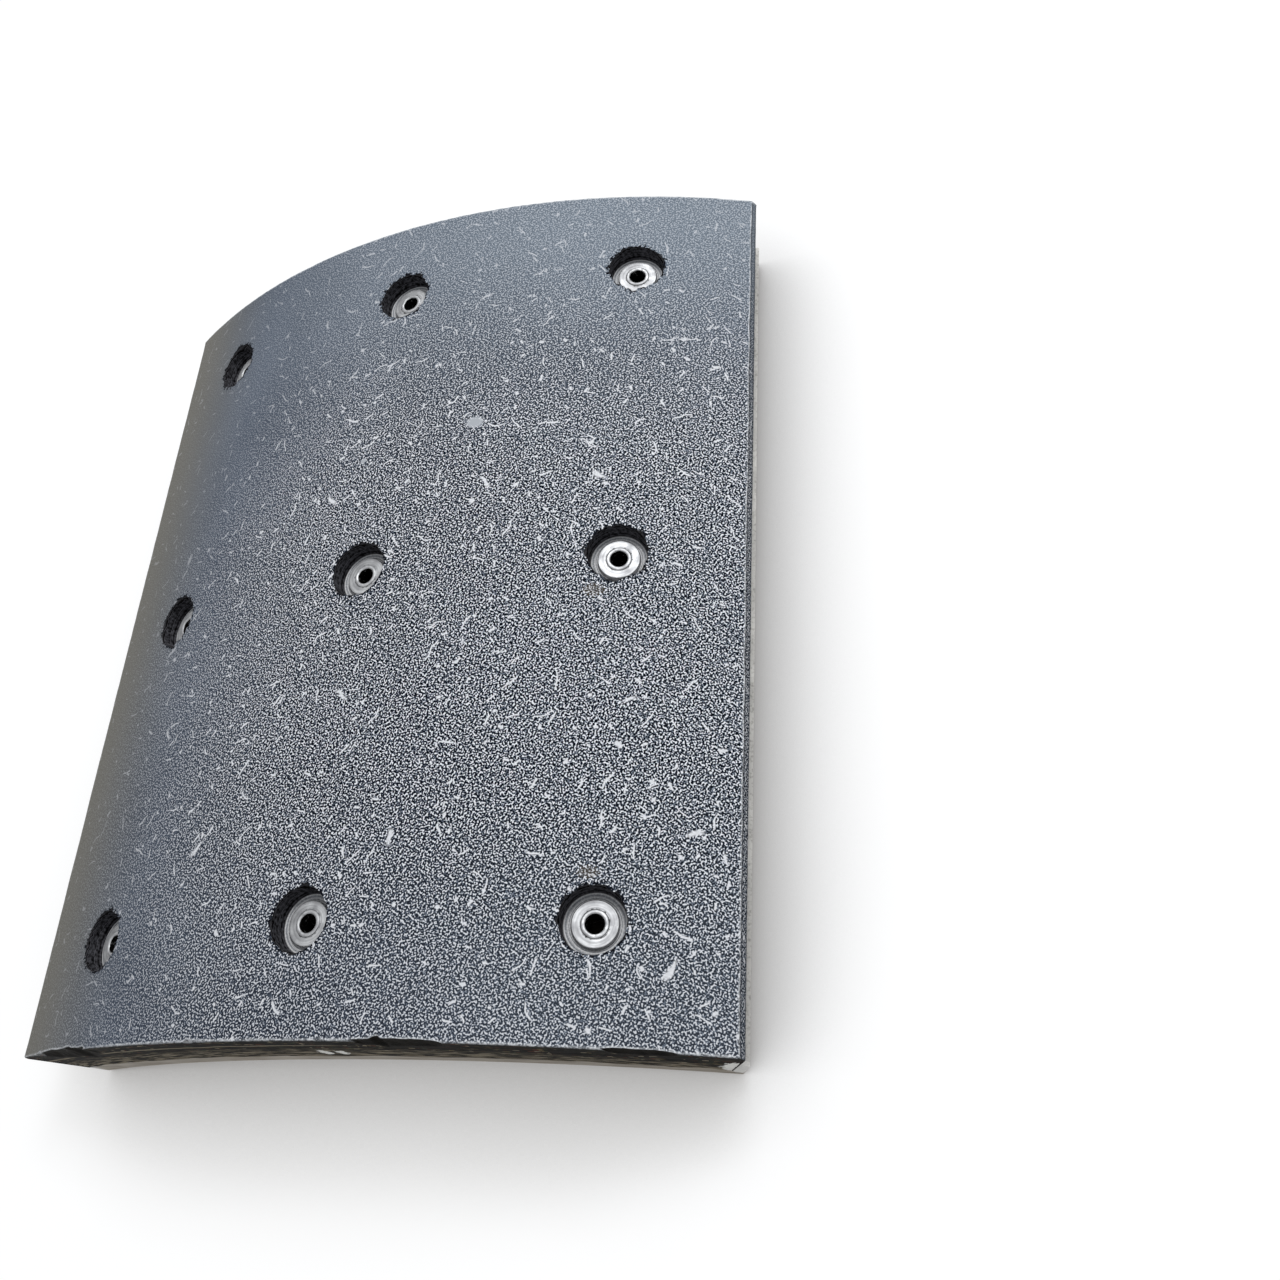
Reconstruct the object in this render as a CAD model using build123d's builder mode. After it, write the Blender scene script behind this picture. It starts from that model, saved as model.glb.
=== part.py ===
from build123d import *
import os
from math import asin, atan2, cos, degrees, hypot, sin, sqrt

# Lined shoe plate of a truck drum brake: a rolled steel plate, one moulded friction
# lining on its outer face, and nine tubular rivets that clamp the two together.
#
# Frame, in millimetres: X runs along the shoe's chord, Y along the drum's axis (the
# shoe's width) and Z up through the middle of the shoe. The origin is the centre of
# the bounding box's bottom, so the shoe stands on the two inner ends of its plate,
# friction face up.

# ---- Driving dimensions -------------------------------------------------------------

# Friction lining
drum_radius = 205.0            # friction face, for a drum 410 mm across
lining_width = 225.0           # along the drum's axis
lining_arc_length = 197.0      # along the friction face, end to end
lining_middle_thickness = 20.0
lining_end_thickness = 17.0    # the lining thins out towards both ends
lining_end_chamfer = 1.5       # on the friction face's two end edges

# Shoe plate
plate_thickness = 7.0
plate_side_inset = 0.4         # each side of the plate lies this far inside the lining's
plate_end_overhang = 3.5       # arc of bare plate beyond each end of the lining
plate_edge_break = 0.6

# Rivet pattern: three columns along the arc, three rows across the width. The outer ones
# keep their distance from the lining's edges, and the middle ones stand on its middle.
column_end_distance = 32.0     # arc on the friction face, rivet to end of the lining
row_edge_distance = 25.5       # rivet to side of the lining
column_names = ["left", "centre", "right"]
row_names = ["near", "middle", "far"]

# Tubular rivet
shank_diameter = 6.0
bore_diameter = 4.2
head_diameter = 10.4
head_thickness = 1.0
head_edge_radius = 0.4
lip_width = 1.0                # raised ring round the mouth of the bore
lip_height = 0.4
tail_flare_radius = 1.5        # bore opens out at the clinched end
tail_roll_height = 1.2         # rolled rim under the plate

# Rivet holes
shank_clearance = 0.2          # radial, round the shank
head_clearance = 1.9           # radial, between the head and the counterbore's wall
head_sink = 3.7                # from the friction face down to the flat of the head

# Chips broken out of the friction face's near edge: place along the arc from the
# middle, half length, reach into the friction face, depth down the side
edge_chips = [
    (-76.0, 12.0, 1.1, 7.0),
    (27.5, 10.0, 0.9, 5.0),
    (78.0, 7.5, 0.7, 4.5),
]

# ---- Places worked out from them ----------------------------------------------------

lining_half_angle = lining_arc_length / drum_radius / 2
column_angle = (lining_arc_length / 2 - column_end_distance) / drum_radius
row_pitch = lining_width / 2 - row_edge_distance

# The lining sits on an arc flatter than the drum's. Its centre lies below the drum's
# centre, by the distance that gives the lining its two thicknesses.
crown_radius = drum_radius - lining_middle_thickness
end_radius = drum_radius - lining_end_thickness
seat_centre_drop = (crown_radius**2 - end_radius**2) / (
    2 * (end_radius * cos(lining_half_angle) - crown_radius)
)
seat_radius = crown_radius + seat_centre_drop
plate_inner_radius = seat_radius - plate_thickness

# Half angle of the plate, seen from the centre of its own arc
lining_seat_angle = asin(end_radius * sin(lining_half_angle) / seat_radius)
plate_half_angle = lining_seat_angle + plate_end_overhang / seat_radius

# The inner ends of the plate touch z = 0
seat_centre_z = -plate_inner_radius * cos(plate_half_angle)
drum_centre_z = seat_centre_z + seat_centre_drop

drum_plane = Plane(origin=(0, 0, drum_centre_z), x_dir=(1, 0, 0), z_dir=(0, -1, 0))
seat_plane = Plane(origin=(0, 0, seat_centre_z), x_dir=(1, 0, 0), z_dir=(0, -1, 0))

plate_width = lining_width - 2 * plate_side_inset
hole_radius = shank_diameter / 2 + shank_clearance
counterbore_radius = head_diameter / 2 + head_clearance
counterbore_depth = head_sink + head_thickness


def on_arc(radius, angle):
    """Point of an arc about the sketch's origin, the angle counted from the crown."""
    return (radius * sin(angle), radius * cos(angle))


def rivet_axis_angle(column):
    """Tilt of a column's rivets, which stand square on the plate, not on the drum."""
    face_x, face_z = on_arc(drum_radius, column * column_angle)
    return atan2(face_x, face_z + seat_centre_drop)


def face_plane(column, row):
    """Plane on the friction face at a rivet, facing out along the rivet's axis."""
    face_x, face_z = on_arc(drum_radius, column * column_angle)
    tilt = rivet_axis_angle(column)
    return Plane(
        origin=(face_x, row * row_pitch, drum_centre_z + face_z),
        x_dir=(0, 1, 0),
        z_dir=(sin(tilt), 0, cos(tilt)),
    )


def seat_point(column, row):
    """Where a rivet's axis passes through the face between lining and plate."""
    seat_x, seat_z = on_arc(seat_radius, rivet_axis_angle(column))
    return (seat_x, row * row_pitch, seat_centre_z + seat_z)


def head_height(column):
    """Height of a column's rivet heads, to their underside, above the plate."""
    face_x, face_z = on_arc(drum_radius, column * column_angle)
    lining_here = hypot(face_x, face_z + seat_centre_drop) - seat_radius
    return lining_here - counterbore_depth


columns = [-1, 0, 1]
rows = [-1, 0, 1]
rivet_places = [(column, row) for row in rows for column in columns]

# ---- Shoe plate ---------------------------------------------------------------------

# Rolled sheet: a sector of a ring, its ends square to its surface.
with BuildPart() as shoe_plate:
    with BuildSketch(seat_plane):
        with BuildLine():
            ThreePointArc(
                on_arc(seat_radius, -plate_half_angle),
                on_arc(seat_radius, 0),
                on_arc(seat_radius, plate_half_angle),
            )
            Line(
                on_arc(seat_radius, plate_half_angle),
                on_arc(plate_inner_radius, plate_half_angle),
            )
            ThreePointArc(
                on_arc(plate_inner_radius, plate_half_angle),
                on_arc(plate_inner_radius, 0),
                on_arc(plate_inner_radius, -plate_half_angle),
            )
            Line(
                on_arc(plate_inner_radius, -plate_half_angle),
                on_arc(seat_radius, -plate_half_angle),
            )
        make_face()
    extrude(amount=plate_width / 2, both=True)
    side_edges = shoe_plate.faces().filter_by(Axis.Y).edges()
    chamfer(side_edges, length=plate_edge_break)
    with Locations(*[Plane(seat_point(c, r), z_dir=face_plane(c, r).z_dir) for c, r in rivet_places]):
        Hole(radius=hole_radius)

shoe_plate.part.label = "shoe_plate"

# ---- Friction lining ----------------------------------------------------------------

# Two arcs about different centres, with ends that point at the drum's axis, then the
# end chamfers, the counterbored rivet holes and the chips along the near edge.
with BuildPart() as friction_lining:
    with BuildSketch(drum_plane):
        with BuildLine():
            ThreePointArc(
                on_arc(drum_radius, -lining_half_angle),
                on_arc(drum_radius, 0),
                on_arc(drum_radius, lining_half_angle),
            )
            Line(
                on_arc(drum_radius, lining_half_angle),
                on_arc(end_radius, lining_half_angle),
            )
            ThreePointArc(
                on_arc(end_radius, lining_half_angle),
                on_arc(crown_radius, 0),
                on_arc(end_radius, -lining_half_angle),
            )
            Line(
                on_arc(end_radius, -lining_half_angle),
                on_arc(drum_radius, -lining_half_angle),
            )
        make_face()
    extrude(amount=lining_width / 2, both=True)
    width_edges = friction_lining.edges().filter_by(Axis.Y).sort_by(Axis.X)
    chamfer([width_edges[0], width_edges[-1]], length=lining_end_chamfer)
    with Locations(*[face_plane(c, r) for c, r in rivet_places]):
        CounterBoreHole(
            radius=hole_radius,
            counter_bore_radius=counterbore_radius,
            counter_bore_depth=counterbore_depth,
        )
    # A chip is the scoop that a large ball leaves across the edge: the ball's centre
    # lies outside both faces, by the offsets that give the scoop its three sizes.
    for arc_place, half_length, reach, depth in edge_chips:
        chip_angle = arc_place / drum_radius
        side_offset = (half_length**2 - reach**2) / (2 * reach)
        face_offset = (half_length**2 - depth**2) / (2 * depth)
        ball_radius = sqrt(half_length**2 + side_offset**2 + face_offset**2)
        ball_x, ball_z = on_arc(drum_radius + face_offset, chip_angle)
        with Locations((ball_x, -lining_width / 2 - side_offset, drum_centre_z + ball_z)):
            Sphere(radius=ball_radius, mode=Mode.SUBTRACT)

friction_lining.part.label = "friction_lining"

# ---- Tubular rivets -----------------------------------------------------------------


def build_rivet(column, row):
    """One rivet, revolved about its axis from half its section.

    Heights in the section are counted from the face between lining and plate. The
    rolled rim of the tail bears on the plate's hollow side, and the head's underside
    on the floor of the counterbore.
    """
    tilt = rivet_axis_angle(column)
    section_plane = Plane(
        origin=seat_point(column, row),
        x_dir=(cos(tilt), 0, -sin(tilt)),
        z_dir=(0, -1, 0),
    )
    bore_radius = bore_diameter / 2
    shank_radius = shank_diameter / 2
    head_radius = head_diameter / 2
    lip_radius = bore_radius + lip_width
    bottom_radius = bore_radius + tail_flare_radius
    tail_radius = bottom_radius + tail_roll_height
    head_under = head_height(column)
    head_top = head_under + head_thickness
    # the flat rim of the tail meets the curved plate along two lines
    tail_top = sqrt(plate_inner_radius**2 - tail_radius**2) - seat_radius
    tail_bottom = tail_top - tail_roll_height
    with BuildPart() as rivet:
        with BuildSketch(section_plane):
            with BuildLine():
                ThreePointArc(
                    (bore_radius, head_top),
                    (bore_radius + lip_width / 2, head_top + lip_height),
                    (lip_radius, head_top),
                )
                Line((lip_radius, head_top), (head_radius - head_edge_radius, head_top))
                CenterArc(
                    (head_radius - head_edge_radius, head_top - head_edge_radius),
                    head_edge_radius,
                    start_angle=90,
                    arc_size=-90,
                )
                Polyline(
                    (head_radius, head_top - head_edge_radius),
                    (head_radius, head_under),
                    (shank_radius, head_under),
                    (shank_radius, tail_top),
                    (tail_radius, tail_top),
                )
                CenterArc(
                    (bottom_radius, tail_top),
                    tail_roll_height,
                    start_angle=0,
                    arc_size=-90,
                )
                CenterArc(
                    (bottom_radius, tail_bottom + tail_flare_radius),
                    tail_flare_radius,
                    start_angle=-90,
                    arc_size=-90,
                )
                Line((bore_radius, tail_bottom + tail_flare_radius), (bore_radius, head_top))
            make_face()
        revolve(axis=Axis(section_plane.origin, section_plane.y_dir))
    rivet.part.label = f"rivet_{row_names[row + 1]}_{column_names[column + 1]}"
    return rivet.part


rivets = [build_rivet(column, row) for column, row in rivet_places]

# ---- Files --------------------------------------------------------------------------

os.makedirs("parts", exist_ok=True)
for piece in [shoe_plate.part, friction_lining.part, *rivets]:
    export_step(piece, f"parts/{piece.label}.step")

print(f"seat radius {seat_radius:.2f}, plate half angle {degrees(plate_half_angle):.2f} deg")
print(f"drum centre z {drum_centre_z:.3f}, seat centre z {seat_centre_z:.3f}")
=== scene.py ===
"""Looks, light and camera of a riveted drum-brake shoe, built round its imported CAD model.

Every size here is in millimetres unless its name says otherwise; meshes are written in metres,
in the CAD frame: X along the shoe's chord, Y along the drum's axis, Z up through the crown.
"""
from __future__ import annotations

import logging
import math
from collections.abc import Iterable
from dataclasses import dataclass, field
from enum import Enum
from functools import cache, partial

import bmesh
import bpy
import numpy as np
from bpy.types import Material, Node, NodeSocket, NodeTree, Object
from mathutils import Matrix


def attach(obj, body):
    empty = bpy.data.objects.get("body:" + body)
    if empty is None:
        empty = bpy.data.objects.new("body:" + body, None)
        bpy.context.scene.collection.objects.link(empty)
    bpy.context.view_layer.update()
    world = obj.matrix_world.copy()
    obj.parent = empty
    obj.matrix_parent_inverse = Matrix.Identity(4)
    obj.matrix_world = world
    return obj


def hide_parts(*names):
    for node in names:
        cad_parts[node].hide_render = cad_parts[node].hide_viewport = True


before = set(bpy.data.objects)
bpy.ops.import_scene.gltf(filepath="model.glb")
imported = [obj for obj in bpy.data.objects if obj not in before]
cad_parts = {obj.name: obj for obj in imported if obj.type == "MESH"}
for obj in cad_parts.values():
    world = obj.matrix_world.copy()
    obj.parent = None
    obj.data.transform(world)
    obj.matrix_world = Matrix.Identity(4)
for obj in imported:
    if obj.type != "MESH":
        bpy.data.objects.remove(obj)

Array = np.ndarray
Vector3 = tuple[float, float, float]
LOG = logging.getLogger("brake_shoe")
MM = 0.001
SKIN = "skin"  # attribute: where a point lies in its surface's own pattern
ACROSS = np.array([0.0, 1.0, 0.0])  # the drum's axis
# odd numbers that scatter a lattice cell's place and the seed over all 32-bit values
CELL_PRIMES = (73856093, 19349663, 83492791)
SEED_PRIME = 2654435761
SCATTER = ((15, 2246822519), (13, 3266489917), (16, 1))
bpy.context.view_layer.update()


def linear(hex_colour: str) -> tuple[float, float, float, float]:
    """Turns an sRGB hex colour into the linear RGBA that a shader socket takes.

    Args:
        hex_colour: six hex digits after a hash.

    Returns:
        Linear red, green and blue, and an alpha of 1.
    """
    parts = [int(hex_colour[i : i + 2], 16) / 255 for i in (1, 3, 5)]
    r, g, b = (c / 12.92 if c <= 0.04045 else ((c + 0.055) / 1.055) ** 2.4 for c in parts)
    return (r, g, b, 1.0)


def lattice_noise(points: Array, size: float, seed: int) -> Array:
    """Smooth random field: hashed values on a cubic lattice, blended by smoothstep weights.

    Args:
        points: places, the last axis holding x, y and z.
        size: lattice spacing, in the unit of the points.
        seed: picks the field.

    Returns:
        A value from -1 to 1 for each place.
    """
    scaled = points / size + 1000.0
    base = np.floor(scaled).astype(np.int64)
    part = scaled - base
    weight = part * part * (3 - 2 * part)
    total = np.zeros(points.shape[:-1])
    for corner in range(8):
        step = np.array([corner & 1, corner >> 1 & 1, corner >> 2 & 1])
        cell = base + step
        key = np.bitwise_xor.reduce(cell * CELL_PRIMES, axis=-1)
        key = (key ^ seed * SEED_PRIME) & 0xFFFFFFFF
        for shift, factor in SCATTER:
            key = (key ^ key >> shift) * factor & 0xFFFFFFFF
        value = key / 2.0**31 - 1.0
        total += value * np.prod(np.where(step == 1, weight, 1 - weight), axis=-1)
    return total


def fractal_noise(points: Array, size: float, seed: int, octaves: int = 3) -> Array:
    """Sum of lattice noises, each half as large and half as strong as the one before.

    Args:
        points: places, the last axis holding x, y and z.
        size: the largest noise's lattice spacing.
        seed: picks the field.
        octaves: how many noises.

    Returns:
        A value from -1 to 1 for each place.
    """
    strengths = 0.5 ** np.arange(octaves)
    layers = [s * lattice_noise(points, size * s, seed + i) for i, s in enumerate(strengths)]
    return sum(layers) / strengths.sum()


def between(first: Array, last: Array, part: Array | float) -> Array:
    """Runs straight from the first value at 0 to the last at 1."""
    return first + (last - first) * part


def smooth(low: float, high: float, value: Array) -> Array:
    """Rises from 0 at low to 1 at high with level ends."""
    part = np.clip((value - low) / (high - low), 0, 1)
    return part * part * (3 - 2 * part)


def link(name: str, data: bpy.types.ID) -> Object:
    """Makes an object of a mesh, lamp or camera and links it to the scene.

    Args:
        name: the object's name.
        data: the mesh, lamp or camera.

    Returns:
        The object.
    """
    made = bpy.data.objects.new(name, data)
    bpy.context.scene.collection.objects.link(made)
    return made


# ---- Shape of the shoe --------------------------------------------------------------


@dataclass(frozen=True)
class ShoeForm:
    """The shoe's curves and rivet places, as the CAD solids have them.

    A place on the lining is (p, q, h): p along the drum's arc from the crown, q along the
    drum's axis and h straight down from the friction face.
    """

    drum_radius: float = 205.0
    half_width: float = 112.5
    half_arc: float = 98.5
    middle_thickness: float = 20.0
    end_thickness: float = 17.0
    end_chamfer: float = 1.5
    plate_thickness: float = 7.0
    plate_overhang: float = 3.5
    plate_side_inset: float = 0.4
    column_pitch: float = 66.5
    row_pitch: float = 87.0
    head_thickness: float = 1.0
    head_sink: float = 3.7

    @property
    def seat_drop(self) -> float:
        """How far the seat arc's centre lies below the drum's axis."""
        crown = self.drum_radius - self.middle_thickness
        end = self.drum_radius - self.end_thickness
        half_angle = self.half_arc / self.drum_radius
        return (crown**2 - end**2) / (2 * (end * math.cos(half_angle) - crown))

    @property
    def seat_radius(self) -> float:
        """Radius of the face between lining and plate."""
        return self.drum_radius - self.middle_thickness + self.seat_drop

    @property
    def plate_inner_radius(self) -> float:
        """Radius of the plate's hollow side."""
        return self.seat_radius - self.plate_thickness

    @property
    def seat_z(self) -> float:
        """Height of the seat arc's centre, which puts the plate's inner ends at zero."""
        end = self.drum_radius - self.end_thickness
        half_chord = end * math.sin(self.half_arc / self.drum_radius)
        lined = math.asin(half_chord / self.seat_radius)
        bare = self.plate_overhang / self.seat_radius
        return -self.plate_inner_radius * math.cos(lined + bare)

    @property
    def drum_z(self) -> float:
        """Height of the drum's axis."""
        return self.seat_z + self.seat_drop

    def place(self, p: Array, q: Array, h: Array) -> Array:
        """Turns (p, q, h) into x, y, z: a point at radius R - h and angle p / R.

        Args:
            p: place along the arc.
            q: place along the drum's axis.
            h: depth below the friction face.

        Returns:
            The points, the last axis holding x, y and z.
        """
        p, q, h = np.broadcast_arrays(p, q, h)
        angle = p / self.drum_radius
        radius = self.drum_radius - h
        return np.stack([radius * np.sin(angle), q, self.drum_z + radius * np.cos(angle)], -1)

    def unplace(self, points: Array) -> tuple[Array, Array, Array]:
        """Turns x, y, z back into p, q and h.

        Args:
            points: places, the last axis holding x, y and z.

        Returns:
            The places' p, q and h.
        """
        x, up = points[..., 0], points[..., 2] - self.drum_z
        p = self.drum_radius * np.arctan2(x, up)
        return p, points[..., 1], self.drum_radius - np.hypot(x, up)

    def thickness(self, p: Array) -> Array:
        """Lining thickness: the drum radius less how far the seat arc is from the drum's axis.

        Args:
            p: place along the arc.

        Returns:
            The thickness at each place.
        """
        angle = p / self.drum_radius
        inner = np.sqrt(self.seat_radius**2 - (self.seat_drop * np.sin(angle)) ** 2)
        return self.drum_radius - (inner - self.seat_drop * np.cos(angle))

    def rivet_axes(self, column: Column) -> tuple[Array, Array, Array]:
        """Where a column's rivet axis meets the friction face at y = 0, and its directions.

        Args:
            column: the rivets' column.

        Returns:
            The point, the direction along the arc and the direction out of the shoe.
        """
        angle = column.value * self.column_pitch / self.drum_radius
        x = self.drum_radius * math.sin(angle)
        up = self.drum_radius * math.cos(angle)
        tilt = math.atan2(x, up + self.seat_drop)
        along = np.array([math.cos(tilt), 0, -math.sin(tilt)])
        out = np.array([math.sin(tilt), 0, math.cos(tilt)])
        return np.array([x, 0, self.drum_z + up]), along, out

    def face_height(self, column: Column) -> float:
        """Distance along a column's rivet axis from the seat to the friction face."""
        point, _, _ = self.rivet_axes(column)
        return math.hypot(point[0], point[2] - self.seat_z) - self.seat_radius


FORM = ShoeForm()


class Column(Enum):
    """The rivets' columns along the arc, by their place in units of the pitch."""

    LEFT = -1
    CENTRE = 0
    RIGHT = 1


class Row(Enum):
    """The rivets' rows across the width, by their place in units of the pitch."""

    NEAR = -1
    MIDDLE = 0
    FAR = 1


class Slot(Enum):
    """The record's material slots."""

    PLATE = "plate_steel"
    LINING = "friction_material"
    RIVET = "rivet_steel"


class Piece:
    """A piece of the shoe: its CAD node, its material slot and its finish."""

    node: str
    slot: Slot
    finish: Finish

    def build(self) -> Object:
        """Builds the piece that stands for its CAD node."""
        raise NotImplementedError

    def dress(self, piece: Object) -> None:
        """Gives the piece its only material, and the place of the CAD node that it replaces.

        Args:
            piece: the object that build gave.
        """
        piece.data.materials.clear()
        piece.data.materials.append(self.finish.make())
        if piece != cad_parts[self.node]:
            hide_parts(self.node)
            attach(piece, "root")


class MeshBuffer:
    """Gathers patches of points and faces and makes one closed mesh of them."""

    def __init__(self) -> None:
        """Starts with nothing in it."""
        self.points: list[Array] = []
        self.faces: list[Array] = []
        self.tags: dict[str, list[Array]] = {}
        self.count = 0

    def add_points(self, points: Array, tags: dict[str, Array]) -> Array:
        """Adds points.

        Args:
            points: places in mm, the last axis holding x, y and z.
            tags: for each attribute, values that broadcast to the points' shape; SKIN holds
                three numbers a point.

        Returns:
            The points' numbers, in their shape.
        """
        shape = points.shape[:-1]
        numbers = self.count + np.arange(int(np.prod(shape))).reshape(shape)
        self.points.append(points.reshape(-1, 3))
        for name, values in tags.items():
            full = shape + (3,) if name == SKIN else shape
            flat = np.broadcast_to(values, full).reshape(numbers.size, -1)
            self.tags.setdefault(name, []).append(flat)
        self.count += numbers.size
        return numbers

    def join(self, numbers: Array, closed_rows: bool = False) -> None:
        """Makes four-cornered faces between neighbouring rows and columns of point numbers.

        Args:
            numbers: point numbers, each row a closed ring.
            closed_rows: whether the last row joins the first as well.
        """
        ring = np.roll(numbers, -1, axis=1)
        quads = np.stack([numbers[:-1], ring[:-1], ring[1:], numbers[1:]], -1)
        self.faces.append(quads.reshape(-1, 4))
        if closed_rows:
            last = np.stack([numbers[-1], ring[-1], ring[0], numbers[0]], -1)
            self.faces.append(last)

    def to_object(self, name: str, sharp_degrees: float) -> Object:
        """Makes the object: doubles merged, normals outward, smooth but for sharp edges.

        Args:
            name: the object's name.
            sharp_degrees: edges that bend more than this stay sharp.

        Returns:
            The new object, linked to the scene.
        """
        mesh = bpy.data.meshes.new(name)
        faces = [face for group in self.faces for face in group.tolist()]
        mesh.from_pydata((np.concatenate(self.points) * MM).tolist(), [], faces)
        for tag, parts in self.tags.items():
            values = np.concatenate(parts)
            vector = tag == SKIN
            flat = (values * (MM if vector else 1)).astype(np.float32).ravel()
            layer = mesh.attributes.new(tag, "FLOAT_VECTOR" if vector else "FLOAT", "POINT")
            layer.data.foreach_set("vector" if vector else "value", flat)
        work = bmesh.new()
        work.from_mesh(mesh)
        bmesh.ops.remove_doubles(work, verts=work.verts, dist=2e-6)
        bmesh.ops.recalc_face_normals(work, faces=work.faces)
        work.to_mesh(mesh)
        work.free()
        mesh.shade_smooth()
        mesh.set_sharp_from_angle(angle=math.radians(sharp_degrees))
        return link(name, mesh)


class RowStack:
    """Rows of points that make one sheet, each with what its material reads."""

    MARKS = ("face", "fresh", "wear", "wall", "bevel", "floor", "rim")

    def __init__(self) -> None:
        """Starts with no rows."""
        self.rows: list[Array] = []
        self.tags: dict[str, list[Array]] = {name: [] for name in (*self.MARKS, SKIN)}

    def add(
        self, points: Array, p: Array, q: Array, radius: float = 0.0, **marks: Array | float
    ) -> None:
        """Adds a row.

        Args:
            points: the row's places.
            p: pattern place along the arc.
            q: pattern place along the drum's axis.
            radius: distance from the rivet's axis, inside a hole.
            marks: how much of each mark the row has, 0 where it isn't named.
        """
        self.rows.append(points)
        self.tags[SKIN].append(np.stack([p, q, np.full(p.shape, radius)], -1))
        for name in self.MARKS:
            self.tags[name].append(np.broadcast_to(marks.get(name, 0.0), p.shape))

    def sheet(self, buffer: MeshBuffer) -> Array:
        """Puts the rows into a buffer, with the faces between them.

        Args:
            buffer: takes the points and the faces.

        Returns:
            The points' numbers, row by row.
        """
        tags = {name: np.stack(values) for name, values in self.tags.items()}
        numbers = buffer.add_points(np.stack(self.rows), tags)
        buffer.join(numbers)
        return numbers


# ---- Finishes -----------------------------------------------------------------------

# the property that a node's mode, after the dot in its kind, is set to
MODES = {
    "Attribute": "attribute_name",
    "MapRange": "interpolation_type",
    "Math": "operation",
    "Mix": "data_type",
    "TexNoise": "noise_dimensions",
    "TexVoronoi": "voronoi_dimensions",
    "VectorMath": "operation",
    "VectorRotate": "rotation_type",
}


def add_node(tree: NodeTree, kind: str, *values: object, **named: object) -> Node:
    """Adds a shader node, sets it and links it.

    A value is a number, a vector, a hex colour, a socket to link, or a node, which stands
    for its first output in use.

    Args:
        tree: the material's node tree.
        kind: the node's type name, less its first word, and after a dot its mode.
        values: values for the node's inputs in use, in their order.
        named: values by name: an input's where the name starts with a capital, with
            underscores for its spaces, and otherwise a property's.

    Returns:
        The new node.
    """
    kind, _, mode = kind.partition(".")
    node = tree.nodes.new("ShaderNode" + kind)
    if mode:
        setattr(node, MODES[kind], mode)
    wanted = list(zip([socket for socket in node.inputs if socket.enabled], values))
    for name, value in named.items():
        if name[0].isupper():
            wanted.append((node.inputs[name.replace("_", " ")], value))
        else:
            setattr(node, name, value)
    for socket, value in wanted:
        if isinstance(value, Node):
            value = next(output for output in value.outputs if output.enabled)
        if isinstance(value, NodeSocket):
            tree.links.new(value, socket)
        else:
            socket.default_value = linear(value) if isinstance(value, str) else value
    return node


def empty_tree(owner: Material | bpy.types.World) -> partial:
    """Clears a material's or a world's nodes.

    Args:
        owner: the material or the world.

    Returns:
        add_node for its tree.
    """
    owner.use_nodes = True
    owner.node_tree.nodes.clear()
    return partial(add_node, owner.node_tree)


def coat(add: partial, colour: object, coats: Iterable[tuple[object, object]]) -> object:
    """Lays coats over a colour, one after another.

    Args:
        add: add_node for the material's tree.
        colour: the colour underneath.
        coats: each coat's share, from 0 to 1, and its own colour.

    Returns:
        The colour on top.
    """
    for share, shade in coats:
        colour = add("Mix.RGBA", share, colour, shade)
    return colour


class Finish:
    """A finish: its material's name, and the nodes that its surface is made of."""

    name: str

    def paint(self, add: partial) -> dict[str, object]:
        """Adds the finish's nodes and returns what the surface's inputs take from them."""
        raise NotImplementedError

    @cache
    def make(self) -> Material:
        """Builds the material, once, from what paint gives.

        Returns:
            The finished material.
        """
        material = bpy.data.materials.new(self.name)
        add = empty_tree(material)
        add("OutputMaterial", Surface=add("BsdfPrincipled", **self.paint(add)))
        return material


@dataclass(frozen=True)
class FibreLayer:
    """Chopped fibres, at most one to a cell of a jittered lattice, each turned its own way.

    Sizes are in mm; share is the part of the cells that hold one, and shift moves the lattice.
    """

    pitch: float
    length: float
    width: float
    share: float
    shift: float

    def add(self, add: partial, skin: Node) -> Node:
        """Adds the layer's nodes.

        Args:
            add: add_node for the material's tree.
            skin: the surface's pattern coordinates, in metres.

        Returns:
            A node that gives 1 on a fibre and 0 elsewhere.
        """
        scale = (1 / (self.pitch * MM),) * 3
        start = (self.shift, self.shift * 0.7, 0)
        shifted = add("Mapping", Vector=skin, Location=start, Scale=scale)
        cells = add("TexVoronoi.2D", Vector=shifted, Scale=1.0)
        pick = add("SeparateXYZ", cells.outputs["Color"]).outputs
        off = add("VectorMath.SUBTRACT", shifted, cells.outputs["Position"])
        turn = add("Math.MULTIPLY", pick[0], math.tau)
        place = add("SeparateXYZ", add("VectorRotate.Z_AXIS", Vector=off, Angle=turn)).outputs
        reach, width = self.length / self.pitch, self.width / self.pitch
        half = add("Math.MULTIPLY_ADD", pick[2], reach * 0.3, reach * 0.2)
        beyond = add("Math.SUBTRACT", add("Math.ABSOLUTE", place[0]), half)
        ends = add("MapRange.SMOOTHSTEP", beyond, 0.0, 0.06, 1.0, 0.0)
        aside = add("Math.ABSOLUTE", place[1])
        sides = add("MapRange.SMOOTHSTEP", aside, width * 0.25, width * 0.75, 1.0, 0.0)
        body = add("Math.MULTIPLY", ends, sides)
        return add("Math.MULTIPLY", body, add("Math.LESS_THAN", pick[1], self.share))


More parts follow.
